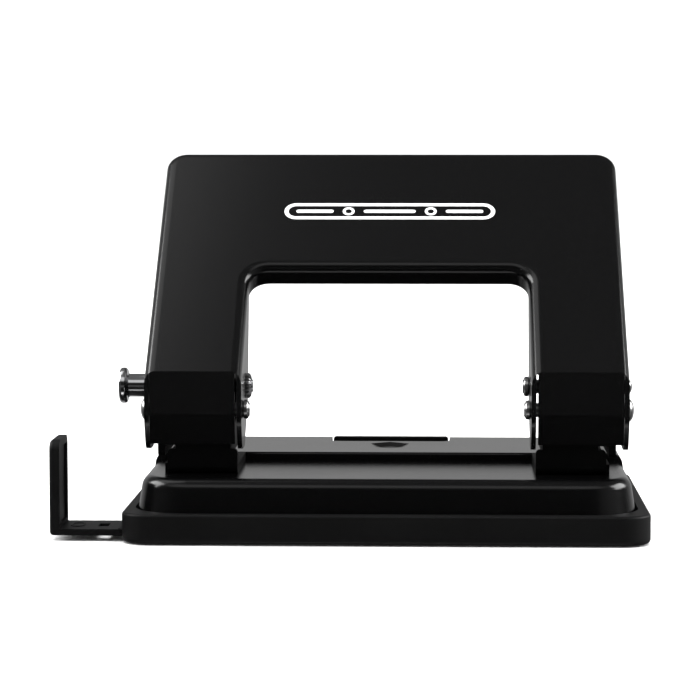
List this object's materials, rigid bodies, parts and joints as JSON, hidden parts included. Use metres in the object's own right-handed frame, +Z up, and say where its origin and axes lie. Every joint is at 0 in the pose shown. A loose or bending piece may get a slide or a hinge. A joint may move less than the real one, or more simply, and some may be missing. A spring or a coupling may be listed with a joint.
{
  "type": "two-hole paper punch",
  "caption": "Black steel desk punch that makes filing holes, with a windowed lever handle, stepped base, pull-out paper guide, lock pin and chip tray.",
  "frame": {"origin": "middle of the chip tray's flat bottom face, where the punch stands on a desk", "axes": "+X along the row of holes, away from the paper guide; +Y towards the edge where the paper goes in; +Z up"},
  "size_m": [0.1237, 0.074, 0.0789],
  "materials": {
    "black_enamel": "glossy black stove enamel on pressed steel",
    "black_plastic": "satin black moulded plastic with a fine texture",
    "chrome": "bright chrome plate",
    "zinc_steel": "zinc-plated steel, turned",
    "spring_steel": "drawn spring steel wire and strip",
    "tool_steel": "hardened and ground steel"
  },
  "bodies": {
    "base": {"base_plate": "black_enamel", "bracket_left": "black_enamel", "bracket_rivets_left": "zinc_steel", "punch_bush_left": "zinc_steel", "return_spring_left": "spring_steel", "bracket_right": "black_enamel", "bracket_rivets_right": "zinc_steel", "punch_bush_right": "zinc_steel", "return_spring_right": "spring_steel"},
    "handle": {"handle": "black_enamel", "actuator_pin_right": "zinc_steel", "actuator_clip_right": "zinc_steel", "fulcrum_pin_left": "zinc_steel", "fulcrum_clip_left": "zinc_steel", "fulcrum_pin_right": "zinc_steel", "fulcrum_clip_right": "zinc_steel"},
    "lock_pin": {"lock_pin": "chrome", "lock_pin_washer": "spring_steel"},
    "punch_left": {"punch_left": "tool_steel", "punch_clip_left": "spring_steel", "spring_washer_left": "zinc_steel"},
    "punch_right": {"punch_right": "tool_steel", "punch_clip_right": "spring_steel", "spring_washer_right": "zinc_steel"},
    "tray": {"chip_tray": "black_plastic"},
    "guide": {"paper_guide": "black_plastic"}
  },
  "joints": [
    {"name": "handle_hinge", "type": "hinge", "parent": "base", "child": "handle", "pos_m": [0, -0.0203, 0.0262], "axis": [-1, 0, 0], "range_deg": [0, 32], "stiffness_Nm_per_rad": 0.3, "springref_deg": -28.65},
    {"name": "punch_left_slide", "type": "slide", "parent": "base", "child": "punch_left", "axis": [0, 0, -1], "range_m": [0, 0.0061], "deforming": ["return_spring_left"]},
    {"name": "punch_right_slide", "type": "slide", "parent": "base", "child": "punch_right", "axis": [0, 0, -1], "range_m": [0, 0.0061], "deforming": ["return_spring_right"]},
    {"name": "lock_pin_slide", "type": "slide", "parent": "handle", "child": "lock_pin", "axis": [1, 0, 0], "range_m": [0, 0.0038]},
    {"name": "chip_tray_pull", "type": "slide", "parent": "base", "child": "tray", "axis": [0, 0, -1], "range_m": [0, 0.02]},
    {"name": "paper_guide_slide", "type": "slide", "parent": "tray", "child": "guide", "axis": [-1, 0, 0], "range_m": [-0.012, 0.081]}
  ],
  "couplings": [
    {"joint": "punch_left_slide", "follows": "handle_hinge", "m_per_rad": 0.010912},
    {"joint": "punch_right_slide", "follows": "handle_hinge", "m_per_rad": 0.010912}
  ]
}
